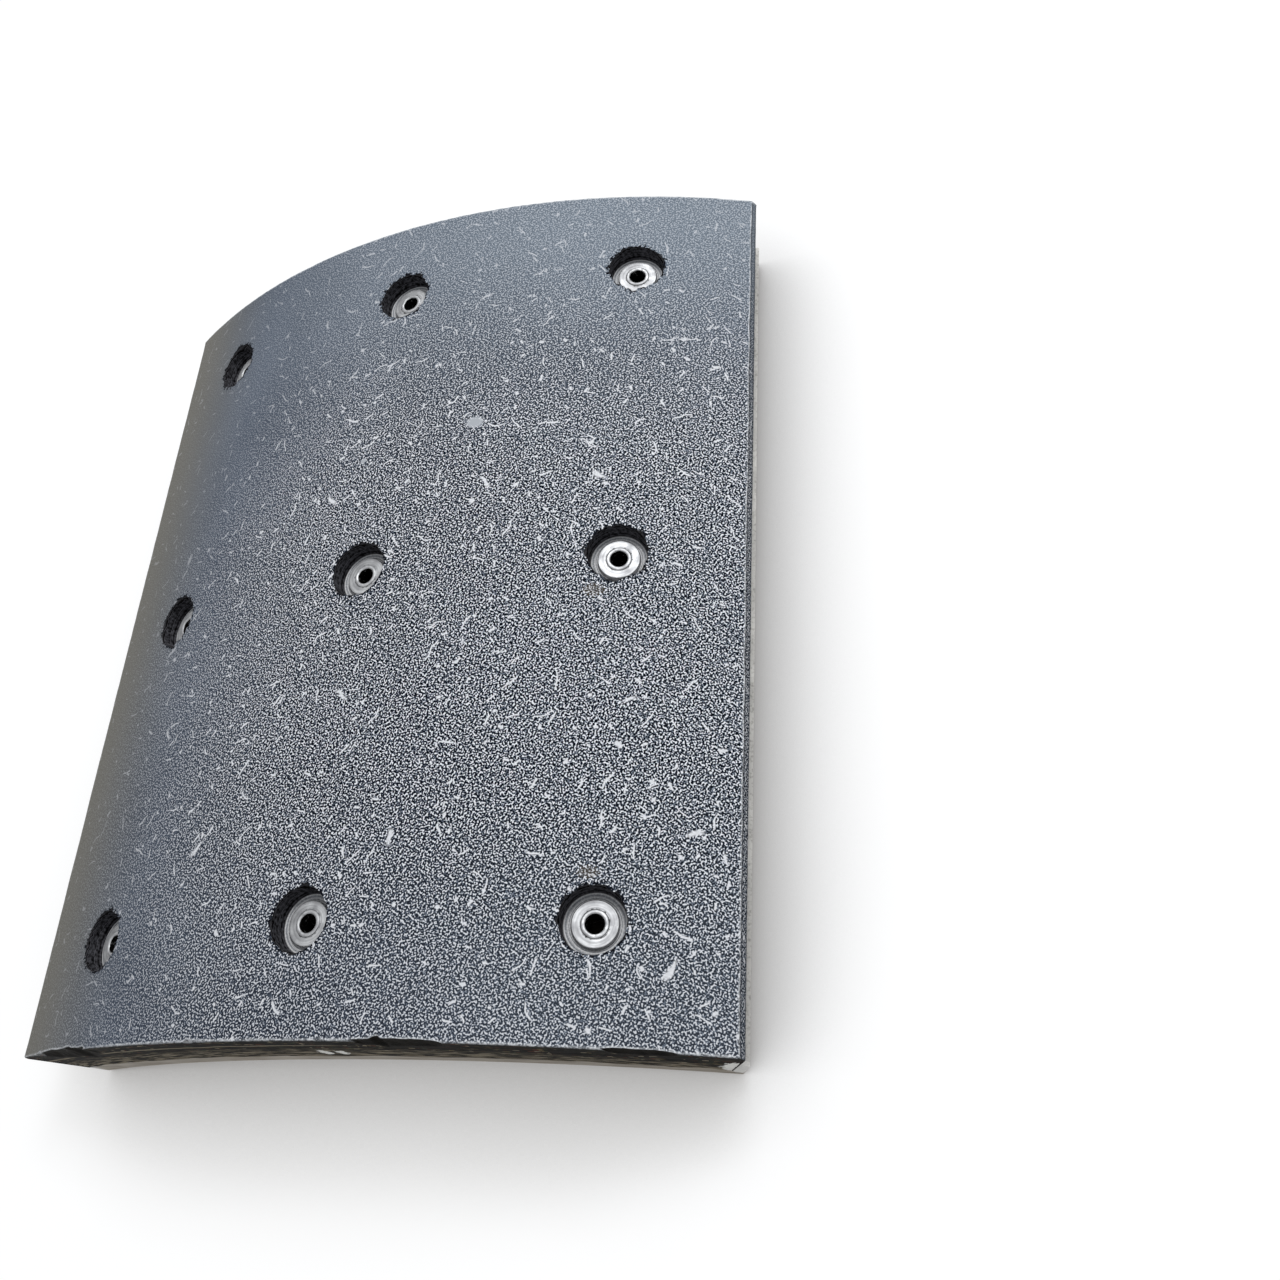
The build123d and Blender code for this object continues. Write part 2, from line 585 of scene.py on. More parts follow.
@dataclass(frozen=True)
class Blot:
    """A patch with a ragged edge: its place and half sizes in mm, in the pattern's coordinates."""

    place: Vector3
    half: Vector3
    ragged: float = 0.9

    def add(self, add: partial, vector: Node, noise: Node) -> Node:
        """Adds the patch: its distance, in half sizes, plus the noise's swing is under 1.

        Args:
            add: add_node for the material's tree.
            vector: the coordinates that the patch lies in, in metres.
            noise: a noise from 0 to 1 that makes the edge ragged.

        Returns:
            A node that gives 1 in the patch and 0 elsewhere.
        """
        scale = tuple(1 / (size * MM) for size in self.half)
        start = tuple(-at / size for at, size in zip(self.place, self.half))
        off = add("Mapping", Vector=vector, Location=start, Scale=scale)
        edge = add("Math.MULTIPLY_ADD", noise, 2 * self.ragged, -self.ragged)
        rough = add("Math.ADD", add("VectorMath.LENGTH", off), edge)
        return add("MapRange.SMOOTHSTEP", rough, 0.85, 1.1, 1.0, 0.0)


@dataclass(frozen=True)
class MouldedFrictionMix(Finish):
    """Moulded brake friction compound: resin, graphite and mineral grit with chopped fibres.

    Its ground face looks like dark blue-grey granite with pale specks; its sawn sides and its
    breaks are nearly black with rusty, green and ochre grains.
    """

    name: str = "moulded_friction_mix"
    pit: str = "#0c0f17"
    grey: tuple[str, str] = ("#58616f", "#656e7c")
    # painted sheen towards the far right of the face
    painted_sheen: str = "#8b96a2"
    # painted reflection of a darker room, towards the left end of the face
    painted_dim_reflection: str = "#7d7b74"
    fleck: str = "#eff1f5"
    spot: str = "#b4b9bf"
    # painted shade on the chamfers at the lining's ends
    bevel: str = "#16181e"
    bruise: str = "#e2e5e8"
    broken: tuple[str, str] = ("#050504", "#1f1c18")
    # the bored walls, darker than the compound they are cut in: painted shade in the holes,
    # streaked by the cutter's rings
    wall: tuple[str, str] = ("#050506", "#5b5b60")
    # painted light on the counterbores' floors, far paler than the compound they are cut in
    painted_floor_light: tuple[str, str] = ("#a3a6ab", "#ffffff")
    side: tuple[str, str] = ("#020201", "#8f8674")
    side_grains: tuple[tuple[float, str], ...] = (
        (0.0, "#0f0c09"), (0.34, "#1d1711"), (0.55, "#2b2017"), (0.7, "#47291d"),
        (0.78, "#292f22"), (0.86, "#5a4f3a"), (0.94, "#8a8170"),
    )
    residue: str = "#f2f1ec"
    stain: str = "#7a6f5e"
    # two lattices of grit, drawn at about twice the real grain, the finest that shows, and
    # turned askew, so that no rows show: the spacing in mm and the turn
    grit: tuple[tuple[float, float], ...] = ((0.46, 0.6), (0.37, 1.9))
    fibres: tuple[FibreLayer, ...] = (
        FibreLayer(8.0, 4.4, 0.36, 0.26, 0.31),
        FibreLayer(5.0, 2.4, 0.38, 0.26, 0.77),
        FibreLayer(4.0, 1.2, 0.62, 0.18, 0.13),
        FibreLayer(30.0, 2.2, 0.9, 0.3, 0.53),
    )
    spots: tuple[Blot, ...] = (
        Blot((27.3, 39.5, 0.0), (2.1, 1.5, 9.0), 0.7),
        Blot((-4.0, 33.0, 0.0), (0.8, 0.7, 9.0), 0.7),
    )
    dabs: tuple[Blot, ...] = (
        Blot((1.7, -127.6, 0.0), (1.6, 2.4, 9.0)),
        Blot((6.4, -127.6, 0.0), (1.4, 2.3, 9.0)),
        Blot((98.6, -124.5, 0.0), (3.4, 5.5, 9.0), 0.6),
    )
    # faint rusty stains beside two of the holes
    stains: tuple[Blot, ...] = (
        Blot((64.9, -77.0, 0.0), (2.2, 1.2, 9.0)),
        Blot((61.6, -10.2, 0.0), (2.4, 1.6, 9.0)),
    )
    # the cutter's rings in the counterbores, coarser than the feed marks, so that they show
    cutter_pitch: float = 0.5

    def relief(self, add: partial, p: NodeSocket, q: NodeSocket) -> Node:
        """How strongly the grit stands out: most in the middle, washed out by the painted sheen and
        reflection at the left and far ends.

        Args:
            add: add_node for the material's tree.
            p: pattern place along the arc, in metres.
            q: pattern place along the drum's axis, in metres.

        Returns:
            A node that runs from 0.08 to 1.
        """
        along = add("MapRange.SMOOTHSTEP", p, -0.098, -0.006, 0.07, 1.0)
        # on the left half the washed-out far side reaches further down the face
        reach = add("Math.MAXIMUM", q, add("Math.MULTIPLY_ADD", p, -0.6, q))
        far = add("MapRange.SMOOTHSTEP", reach, 0.018, 0.104, 1.0, 0.34)
        near = add("MapRange.SMOOTHSTEP", q, -0.112, -0.05, 0.78, 1.0)
        whole = add("Math.MULTIPLY", add("Math.MULTIPLY", along, far), near)
        return add("Math.MAXIMUM", whole, 0.08)

    def ground_face(self, add: partial, skin: NodeSocket) -> tuple[Node, ...]:
        """Grit, fibres, and the painted sheen and reflection that soften them towards the left and
        far ends.

        Args:
            add: add_node for the material's tree.
            skin: pattern coordinates: p, q and distance from the rivet's axis, in metres.

        Returns:
            The face's colour, the grit's height and the fibres.
        """
        p, q, _ = add("SeparateXYZ", skin).outputs
        relief = self.relief(add, p, q)
        grain = 0.0
        for size, turn in self.grit:
            turned = add("VectorRotate.Z_AXIS", Vector=skin, Angle=turn)
            one = add("TexNoise.2D", Vector=turned, Scale=1 / (size * MM), Detail=0.0)
            grain = add("Math.MULTIPLY_ADD", one, 0.5, grain)
        pale = add("MapRange", grain, 0.55, 0.61)
        dark = add("MapRange", grain, 0.51, 0.45)
        cloud = add("TexNoise.2D", Vector=skin, Scale=1 / 0.045, Detail=2.0)
        cloud = add("MapRange", cloud, 0.35, 0.65)
        # towards the far right the face is painted paler and bluer: a painted sheen
        right = add("MapRange.SMOOTHSTEP", p, -0.08, 0.06, 0.12, 1.0)
        back = add("MapRange.SMOOTHSTEP", q, 0.03, 0.108, 0.0, 0.95)
        rightmost = add("MapRange.SMOOTHSTEP", p, 0.015, 0.07, 0.0, 0.3)
        sheen_share = add("Math.MAXIMUM", add("Math.MULTIPLY", right, back), rightmost)
        # towards the left end the face is painted greyer and warmer: a painted reflection
        dim_reflection_share = add("MapRange.SMOOTHSTEP", p, -0.098, -0.05, 1.0, 0.0)
        # fibres bend a little: their coordinates are pushed about by a 3 mm noise
        push = add("TexNoise.2D", Vector=skin, Scale=1 / 0.003, Detail=0.0).outputs["Color"]
        bent = add("VectorMath.ADD", skin, add("VectorMath.SCALE", push, Scale=0.0014))
        strands, *others = [layer.add(add, bent) for layer in self.fibres]
        for layer in others:
            strands = add("Math.MAXIMUM", strands, layer)
        shown = add("MapRange", relief, 0.1, 0.8, 0.17, 0.9)

        coats = [
            (cloud, self.grey[1]),
            (sheen_share, self.painted_sheen),
            (dim_reflection_share, self.painted_dim_reflection),
            (add("Math.MULTIPLY", pale, relief), self.fleck),
            (add("Math.MULTIPLY", dark, relief), self.pit),
            (add("Math.MULTIPLY", strands, shown), self.fleck),
        ]
        for blots, shade, most in ((self.spots, self.spot, 1.0), (self.stains, self.stain, 0.3)):
            for blot in blots:
                coats.append((add("Math.MULTIPLY", blot.add(add, skin, grain), most), shade))
        height = add("Math.MULTIPLY", grain, add("MapRange", relief, 0.08, 0.5, 0.3, 1.0))
        return coat(add, self.grey[0], coats), height, strands

    def sawn_side(self, add: partial, skin: NodeSocket) -> Node:
        """Grains of many colours, streaked along the cut, greyer towards the plate.

        Args:
            add: add_node for the material's tree.
            skin: pattern coordinates: p, q and distance from the rivet's axis, in metres.

        Returns:
            The side's colour.
        """
        grains = add("TexVoronoi.2D", Vector=skin, Scale=1 / 0.0011)
        tint = add("ValToRGB", add("SeparateXYZ", grains.outputs["Color"]))
        tint.color_ramp.interpolation = "CONSTANT"
        steps = tint.color_ramp.elements
        while len(steps) < len(self.side_grains):
            steps.new(0.5)
        for step, (at, colour) in zip(steps, self.side_grains):
            step.position, step.color = at, linear(colour)
        drawn = add("Mapping", Vector=skin, Scale=(0.12, 1.0, 1.0))
        streak = add("TexNoise.2D", Vector=drawn, Scale=1 / 0.0009, Detail=3.0)
        # near-black streaks along the cut: the compound's own black, deepened as painted shade on
        # sides turned from the lamp
        black_and_shade = add("MapRange", streak, 0.38, 0.52)
        # the lower half is dusty, and a pale parting line runs 6.6 mm down the near side
        p, q, _ = add("SeparateXYZ", skin).outputs
        dust = add("MapRange.SMOOTHSTEP", q, -0.1205, -0.1275, 0.0, 0.75)
        dust = add("Math.MULTIPLY", dust, add("MapRange", streak, 0.52, 0.44, 0.05, 1.0))
        from_line = add("Math.ABSOLUTE", add("Math.ADD", q, 0.1191))
        line = add("MapRange", from_line, 0.0002, 0.0006, 0.8, 0.0)
        reach = add("MapRange.SMOOTHSTEP", p, -0.004, 0.02, 1.0, 0.0)
        pale = add("Math.MAXIMUM", add("Math.MULTIPLY", line, reach), dust)
        return add("Mix.RGBA", pale, add("Mix.RGBA", black_and_shade, tint, self.side[0]), self.side[1])

    def paint(self, add: partial) -> dict[str, object]:
        """Adds the ground face, the sawn sides and the marks that the mesh carries, in coats.

        Args:
            add: add_node for the material's tree.

        Returns:
            The surface's inputs.
        """
        skin = add("Attribute." + SKIN).outputs["Vector"]
        place = add("TexCoord").outputs["Object"]
        marks = {name: add("Attribute." + name).outputs["Fac"] for name in RowStack.MARKS}
        face, height, strands = self.ground_face(add, skin)
        fine = add("TexNoise", Vector=place, Scale=1 / 0.0008, Detail=2.0)
        facet = add("TexVoronoi", Vector=place, Scale=1 / 0.0018).outputs["Distance"]
        facet = add("MapRange", facet, 0.1, 0.9, 0.0, 0.6)
        radius = add("SeparateXYZ", skin).outputs[2]
        rings = add("TexNoise.1D", W=radius, Scale=1 / (self.cutter_pitch * MM), Detail=1.0)
        band = add("Math.MULTIPLY", add("Math.ADD", rings, fine), 0.5)
        band = add("MapRange", band, 0.42, 0.62)
        # the counterbores' floors are painted nearly white, with the cutter's rings: painted light
        # in the holes
        floor = add("Mix.RGBA", add("MapRange", rings, 0.42, 0.58), *self.painted_floor_light)
        # the rims of the holes are crumbled: dark bits gather towards the rim, a painted shade of
        # the crumbled nooks
        crumbs = add("Math.MULTIPLY_ADD", fine, 1.1, add("Math.MULTIPLY", marks["rim"], 0.34))
        worn = add("TexNoise.2D", Vector=skin, Scale=1 / 0.0012, Detail=2.0)
        worn = add("MapRange", worn, 0.36, 0.55, 0.3, 1.0)
        coats = (
            (marks["face"], face),
            *((dab.add(add, skin, fine), self.residue) for dab in self.dabs),
            # the end chamfers are painted dark: a painted shade
            (add("Math.MULTIPLY", marks["bevel"], 0.85), self.bevel),
            (add("MapRange", crumbs, 0.84, 0.9), self.pit),
            (marks["fresh"], add("Mix.RGBA", facet, *self.broken)),
            (marks["floor"], add("Mix.RGBA", 0.8, face, floor)),
            # the bored walls are painted darker than the face: a painted shade, streaked by the
            # cutter's rings
            (marks["wall"], add("Mix.RGBA", band, *self.wall)),
            (add("Math.MULTIPLY", worn, marks["wear"], use_clamp=True), self.bruise),
        )
        height = add("Math.MULTIPLY_ADD", strands, 0.35, height)
        return dict(
            Base_Color=coat(add, self.sawn_side(add, skin), coats),
            Roughness=add("MapRange", strands, 0.0, 1.0, 0.62, 0.5),
            Specular_IOR_Level=0.02,
            Normal=add("Bump", Height=height, Distance=0.12 * MM, Strength=0.8),
        )


@dataclass(frozen=True)
class ZincPlatedSteel(Finish):
    """Bright zinc on turned steel: pale cool metal, fine rings from the tool, painted shade in its
    bore and corners.
    """

    name: str = "zinc_plated_steel"
    bright: str = "#c9cbcd"
    dull: str = "#9c9da0"
    ring: str = "#7c7d81"
    grime: str = "#151413"

    def paint(self, add: partial) -> dict[str, object]:
        """Adds dull patches, the tool's rings and the painted shade over bright metal.

        Args:
            add: add_node for the material's tree.

        Returns:
            The surface's inputs.
        """
        skin = add("Attribute." + SKIN).outputs["Vector"]
        hollow_shade_mask = add("Attribute.grime").outputs["Fac"]
        place = add("TexCoord").outputs["Object"]
        # rings 0.45 mm apart, drawn coarse to show: the noise hardly changes along a turn
        drawn = add("Mapping", Vector=skin, Scale=(1.0, 0.06, 1.0))
        rings = add("TexNoise.2D", Vector=drawn, Scale=1 / 0.00045, Detail=2.0)
        patches = add("TexNoise", Vector=place, Scale=1 / 0.0026, Detail=2.0)
        fine = add("TexNoise", Vector=place, Scale=1 / 0.0009, Detail=3.0)
        hollow_shade_mask = add("Math.MULTIPLY_ADD", fine, 1.3, hollow_shade_mask)
        spread = add("MapRange.SMOOTHSTEP", hollow_shade_mask, 1.25, 1.55)
        coats = (
            (add("MapRange", patches, 0.35, 0.7), self.dull),
            (add("MapRange", rings, 0.4, 0.6, 0.0, 0.4), self.ring),
            (spread, self.grime),
        )
        rough = add("Math.MULTIPLY_ADD", spread, 0.5, patches)
        return dict(
            Base_Color=coat(add, self.bright, coats),
            Metallic=1.0,
            Roughness=add("MapRange", rough, 0.3, 1.0, 0.52, 0.66),
            Normal=add("Bump", Height=rings, Distance=0.03 * MM, Strength=0.8),
        )


@dataclass(frozen=True)
class RolledSteelPlate(Finish):
    """Hot-rolled steel strip, oiled: warm grey mill scale, with paler sheared edges and ends."""

    name: str = "hot_rolled_steel"
    scale: tuple[str, str] = ("#6f6a62", "#4c4945")
    edge: tuple[str, str] = ("#9b9284", "#6b6256")
    # painted highlight along both arrises of the plate's sides
    line: str = "#c6bfb3"
    bare: str = "#c4c3bf"
    crust: str = "#d9d8d4"
    # dried paint on the near right corner
    crusts: tuple[Blot, ...] = (Blot((88.6, -112.2, 5.4), (2.6, 2.2, 3.0)),)

    def paint(self, add: partial) -> dict[str, object]:
        """Adds mill scale, sheared edges with a painted highlight along their arrises, bared ends
        and specks of paint.

        Args:
            add: add_node for the material's tree.

        Returns:
            The surface's inputs.
        """
        place = add("TexCoord").outputs["Object"]
        # distance from the seat arc's axis runs through the sheet, 0 inside and 1 outside
        axis = (0, 0, -FORM.seat_z * MM)
        flat = add("Mapping", Vector=place, Location=axis, Scale=(1.0, 0.0, 1.0))
        inside, outside = FORM.plate_inner_radius * MM, FORM.seat_radius * MM
        level = add("MapRange", add("VectorMath.LENGTH", flat), inside, outside)
        rim = add("Math.ABSOLUTE", add("Math.SUBTRACT", level, 0.5))
        x, y, _ = add("SeparateXYZ", place).outputs
        half_width = (FORM.half_width - FORM.plate_side_inset) * MM
        span = (half_width - 0.75 * MM, half_width - 0.35 * MM)
        on_side = add("MapRange", add("Math.ABSOLUTE", y), *span)
        on_end = add("MapRange", add("Math.ABSOLUTE", x), 0.0852, 0.0868)
        bared = add("Math.MULTIPLY", on_end, add("MapRange", level, 0.25, 0.6))
        drawn = add("Mapping", Vector=place, Scale=(0.05, 1.0, 1.0))
        drawn = add("TexNoise", Vector=drawn, Scale=1 / 0.0005, Detail=3.0)
        blotch = add("TexNoise", Vector=place, Scale=1 / 0.009, Detail=3.0)
        speckle = add("TexNoise", Vector=place, Scale=1 / 0.0007, Detail=2.0)
        bared = add("Math.MULTIPLY", bared, add("MapRange", speckle, 0.3, 0.5, 0.55, 1.0))

        scale = add("Mix.RGBA", add("MapRange", blotch, 0.35, 0.7), *self.scale)
        edge = add("Mix.RGBA", add("MapRange", drawn, 0.4, 0.65), *self.edge)
        # pale lines along both arrises of the sides: a painted highlight on the burred edges
        edge = add("Mix.RGBA", add("MapRange", rim, 0.34, 0.42, 0.0, 0.9), edge, self.line)
        crusts = ((crust.add(add, place, speckle), self.crust) for crust in self.crusts)
        coats = ((on_side, edge), (bared, self.bare), *crusts)
        height = add("Math.ADD", drawn, speckle)
        return dict(
            Base_Color=coat(add, scale, coats),
            Metallic=0.25,
            Roughness=add("MapRange", blotch, 0.3, 0.7, 0.45, 0.65),
            Normal=add("Bump", Height=height, Distance=0.05 * MM),
        )


# ---- Friction lining ----------------------------------------------------------------


@dataclass(frozen=True)
class EdgeChip:
    """A flake broken off the near edge: where along the arc, and how long, wide and deep."""

    place: float
    half_length: float
    reach: float
    depth: float
    seed: int


@dataclass
class FrictionLining(Piece):
    """The moulded lining: a closed mesh with ragged counterbore rims and a chipped near edge.

    Nine cells, one for each rivet, are polar grids that run from the cell's border in to the
    counterbore, down through the hole and out again over the underside. A belt of rows runs
    round the four sides between the cells' outer borders, top and bottom.
    """

    node: str = "friction_lining"
    slot: Slot = Slot.LINING
    finish: Finish = MouldedFrictionMix()
    hole_radius: float = 3.2
    counterbore_radius: float = 7.1
    counterbore_depth: float = 4.7
    # the belt's width, steps along a cell's side, and the belt's steps to each of those
    belt: float = 6.0
    cell_steps: int = 42
    near_steps: int = 4
    side_steps: int = 2
    # rings from a cell's border to its hole, each wider than the next by this growth
    face_rings: int = 14
    face_growth: float = 2.6
    # places of the floor's rings, from the wall in to the rivet's hole
    floor_radii: tuple[float, ...] = (6.75, 5.6, 4.4, 3.2)
    # reach of the painted shade of dark bits by the crumbled rim, and roughness of the bored wall
    # and sawn sides
    crumb_shade_reach: float = 1.5
    wall_rough: float = 0.11
    side_rough: float = 0.16
    arris_wear: float = 0.2
    chips: tuple[EdgeChip, ...] = (
        EdgeChip(-76.0, 12.0, 1.1, 7.0, 3),
        EdgeChip(27.5, 10.0, 0.9, 5.0, 4),
        EdgeChip(78.0, 7.5, 0.7, 4.5, 5),
    )
    buffer: MeshBuffer = field(default_factory=MeshBuffer)

    def cell_borders(self) -> tuple[Array, Array]:
        """Where the borders of the cells lie.

        Returns:
            Four places along p and four along q.
        """
        p_end = FORM.half_arc - self.belt
        q_end = FORM.half_width - self.belt
        p, q = FORM.column_pitch / 2, FORM.row_pitch / 2
        return np.array([-p_end, -p, p, p_end]), np.array([-q_end, -q, q, q_end])

    def rim_break(self, rim: Array) -> Array:
        """How far the counterbore's rim has crumbled: the positive part of three noises, summed.

        Args:
            rim: places on the whole rim.

        Returns:
            What the rim has lost at each place, outward from the axis.
        """
        crumbs = np.maximum(lattice_noise(rim, 0.8, 11), 0) * 0.8
        bites = np.maximum(fractal_noise(rim, 1.9, 13), 0) * 0.9
        flakes = np.maximum(lattice_noise(rim, 3.6, 12) - 0.25, 0) * 1.2
        return 0.05 + crumbs + bites + flakes

    def add_cell(self, column: Column, row: Row) -> None:
        """Adds one rivet's cell as rings round its axis, from its border to its border below.

        Args:
            column: the rivet's column.
            row: the rivet's row.
        """
        p_lines, q_lines = self.cell_borders()
        p0, p1 = p_lines[column.value + 1], p_lines[column.value + 2]
        q0, q1 = q_lines[row.value + 1], q_lines[row.value + 2]
        steps = np.arange(self.cell_steps) / self.cell_steps
        on_p, on_q, same = (p1 - p0) * steps, (q1 - q0) * steps, np.ones_like(steps)
        border_p = np.concatenate([p0 + on_p, p1 * same, p1 - on_p, p0 * same])
        border_q = np.concatenate([q0 * same, q0 + on_q, q1 * same, q1 - on_q])

        centre_p, centre_q = column.value * FORM.column_pitch, row.value * FORM.row_pitch
        point, along, out = FORM.rivet_axes(column)
        point = point + centre_q * ACROSS
        seen = np.unwrap(np.arctan2(border_q - centre_q, border_p - centre_p))
        even = seen[0] + np.linspace(0, 2 * math.pi, seen.size, endpoint=False)
        angle = (seen + even) / 2
        spoke = np.cos(angle)[:, None] * along + np.sin(angle)[:, None] * ACROSS

        def height_on(radius: Array | float, centre_z: float, cylinder: float) -> Array:
            """Height along the axis at which each spoke's end meets a cylinder along Y.

            Args:
                radius: distance of the spokes' ends from the axis.
                centre_z: height of the cylinder's own axis.
                cylinder: the cylinder's radius.

            Returns:
                The heights, counted from the friction face at the axis.
            """
            start = point + spoke * np.reshape(radius, (-1, 1))
            x, z = start[:, 0], start[:, 2] - centre_z
            lean = x * out[0] + z * out[2]
            return -lean + np.sqrt(lean**2 - (x**2 + z**2 - cylinder**2))

        stack = RowStack()

        def add_ring(ring: Array, radius: float, **marks: Array | float) -> None:
            """Adds a ring inside the hole; its pattern place is its own distance from the axis."""
            p = centre_p + radius * np.cos(angle)
            stack.add(ring, p, centre_q + radius * np.sin(angle), radius, **marks)

        broken = self.rim_break(point + spoke * self.counterbore_radius)
        edge_radius = self.counterbore_radius + broken
        edge_up = height_on(edge_radius, FORM.drum_z, FORM.drum_radius)
        edge = point + spoke * edge_radius[:, None] + edge_up[:, None] * out
        edge_p, edge_q, _ = FORM.unplace(edge)
        for part in np.linspace(1, 0, self.face_rings):
            share = math.expm1(self.face_growth * part) / math.expm1(self.face_growth)
            p, q = between(edge_p, border_p, share), between(edge_q, border_q, share)
            away = np.hypot(p - edge_p, q - edge_q)
            rim = smooth(self.crumb_shade_reach, 0.0, away)
            stack.add(FORM.place(p, q, 0 * p), p, q, face=1.0, rim=rim)

        wall_up = height_on(self.counterbore_radius, FORM.drum_z, FORM.drum_radius)
        drop = 0.2 + 1.0 * broken
        # the broken rim, the bored wall, the counterbore's floor, the rivet's hole, the underside
        for part in (0.35, 0.7, 1.0):
            radius = edge_radius - broken * part
            up = between(edge_up, wall_up - drop, part**1.4)
            ring = point + spoke * radius[:, None] + up[:, None] * out
            ring = ring + spoke * (0.1 * lattice_noise(ring, 0.7, 14))[:, None]
            pattern_radius = self.counterbore_radius + 1 - part
            add_ring(ring, pattern_radius, fresh=1.0, wall=part, rim=1.0 - part)
        for part in (0.25, 0.5, 0.75, 1.0):
            up = (wall_up - drop) * (1 - part) - self.counterbore_depth * part
            ring = point + spoke * self.counterbore_radius + up[:, None] * out
            bump = self.wall_rough * (1 + fractal_noise(ring, 1.3, 15)) * (part < 1)
            add_ring(ring + spoke * np.reshape(bump, (-1, 1)), 6 - 4 * part, wall=1.0)
        for radius in self.floor_radii:
            ring = point + spoke * radius - self.counterbore_depth * out
            add_ring(ring, radius, wall=0.15 * (radius < 6), floor=1.0)
        seat_up = height_on(self.hole_radius, FORM.seat_z, FORM.seat_radius)
        seat_ring = point + spoke * self.hole_radius + seat_up[:, None] * out
        add_ring(seat_ring, 0.5, wall=1.0)
        seat_p, seat_q, _ = FORM.unplace(seat_ring)
        for share in (0.15, 0.5, 1.0):
            p, q = between(seat_p, border_p, share), between(seat_q, border_q, share)
            stack.add(FORM.place(p, q, FORM.thickness(p)), p, q, wall=0.5)
        stack.sheet(self.buffer)

    def edge_loss(self, p: Array, side: Array) -> tuple[Array, Array, Array]:
        """Material lost along the near and far top edges: worn arris, nicks and chips, summed.

        Args:
            p: place along the arc.
            side: -1 on the near edge, 1 on the far edge, 0 on the ends.

        Returns:
            How far the loss reaches into the face, how far down the side, and how fresh it is.
        """
        # the factor of 500 mm gives each edge a noise of its own
        line = np.stack([p, 500 * side, 0 * p], -1)
        small = 0.5 + 0.5 * fractal_noise(line, 1.6, 21)
        nicks = np.maximum(lattice_noise(line, 2.6, 22) - 0.4, 0)
        near = (side < 0).astype(float)
        reach = self.arris_wear * (0.7 + 1.1 * small) + nicks * (0.25 + 0.7 * near)
        depth = self.arris_wear * (0.6 + 1.2 * small) + nicks * (0.3 + 1.8 * near)
        fresh = np.zeros_like(p)
        for chip in self.chips:
            off = np.clip(np.abs(p - chip.place) / chip.half_length, 0, 1)
            bow = np.sqrt(1 - off**2) * near
            rough = 0.55 + 0.18 * fractal_noise(line, 3.4, 30 + chip.seed)
            jag = 1 + 0.4 * fractal_noise(line, 4.5, 40 + chip.seed)
            reach = reach + chip.reach * bow * rough
            depth = depth + chip.depth * bow**0.8 * jag
            fresh = np.maximum(fresh, smooth(0.0, 0.25, bow))
        ends = smooth(0, 3, FORM.half_arc - np.abs(p))
        return between(self.arris_wear, reach, ends), depth, fresh

    def unit_loop(self, near: int, others: int) -> tuple[Array, ...]:
        """Runs round the unit square from the near left corner.

        Args:
            near: steps to each border step along the near side.
            others: the same along the other three sides.

        Returns:
            Each point's place along p and q, and its side's outward direction along p and q.
        """
        sides = []
        for number, (out_p, out_q) in enumerate(((0, -1), (1, 0), (0, 1), (-1, 0))):
            borders = self.cell_borders()[number % 2]
            fine = others if number else near
            # evenly spaced within each cell, without the side's last point
            places = np.arange(3 * self.cell_steps * fine) / fine / self.cell_steps
            line = np.interp(places, np.arange(4), borders / borders[-1])
            level = 0 * line
            sides.append([out_p - out_q * line, out_q + out_p * line, out_p + level, out_q + level])
        return tuple(np.concatenate(sides, 1))

    def add_belt(self) -> None:
        """Adds the rows round the four sides: top margin, broken or chamfered edge, side, bottom.

        Each row is a rectangle in (p, q) whose corners stay mitred. A point of a row is its
        place on a unit square, times the row's half length and half width, less what is lost.
        """
        up, uq, side_p, side_q = self.unit_loop(self.near_steps, self.side_steps)
        wide, top_q = up * FORM.half_arc, uq * FORM.half_width
        reach_q, depth_q, fresh = self.edge_loss(wide, side_q)
        on_end = np.abs(side_p)
        end_line = np.stack([300 * side_p, top_q, 0 * up], -1)
        window = smooth(0, 4, FORM.half_width * (1 - np.abs(uq)))
        uneven = 0.14 * (1 + fractal_noise(end_line, 5.0, 51))
        chamfer = FORM.end_chamfer * (1 + on_end * window * uneven)
        ramp = FORM.end_chamfer - (FORM.half_arc - np.abs(wide))
        corner = (np.abs(up) > 0.9999) & (np.abs(uq) > 0.9999)
        depth = np.where(on_end > 0, chamfer, np.maximum(depth_q, ramp))
        depth = np.where(corner, FORM.end_chamfer, depth)
        fresh = fresh * (1 - on_end)

        p_lines, q_lines = self.cell_borders()
        inner_p, inner_q = p_lines[-1] * up, q_lines[-1] * uq
        edge_p = up * (FORM.half_arc - chamfer)
        edge_q = uq * (FORM.half_width - np.where(on_end > 0, self.arris_wear, reach_q))

        stack = RowStack()

        def add_row(p: Array, q: Array, h: Array, **marks: Array | float) -> None:
            """Adds a row; its pattern place runs on down the sides."""
            stack.add(FORM.place(p, q, h), p + side_p * h, q + side_q * h, **marks)

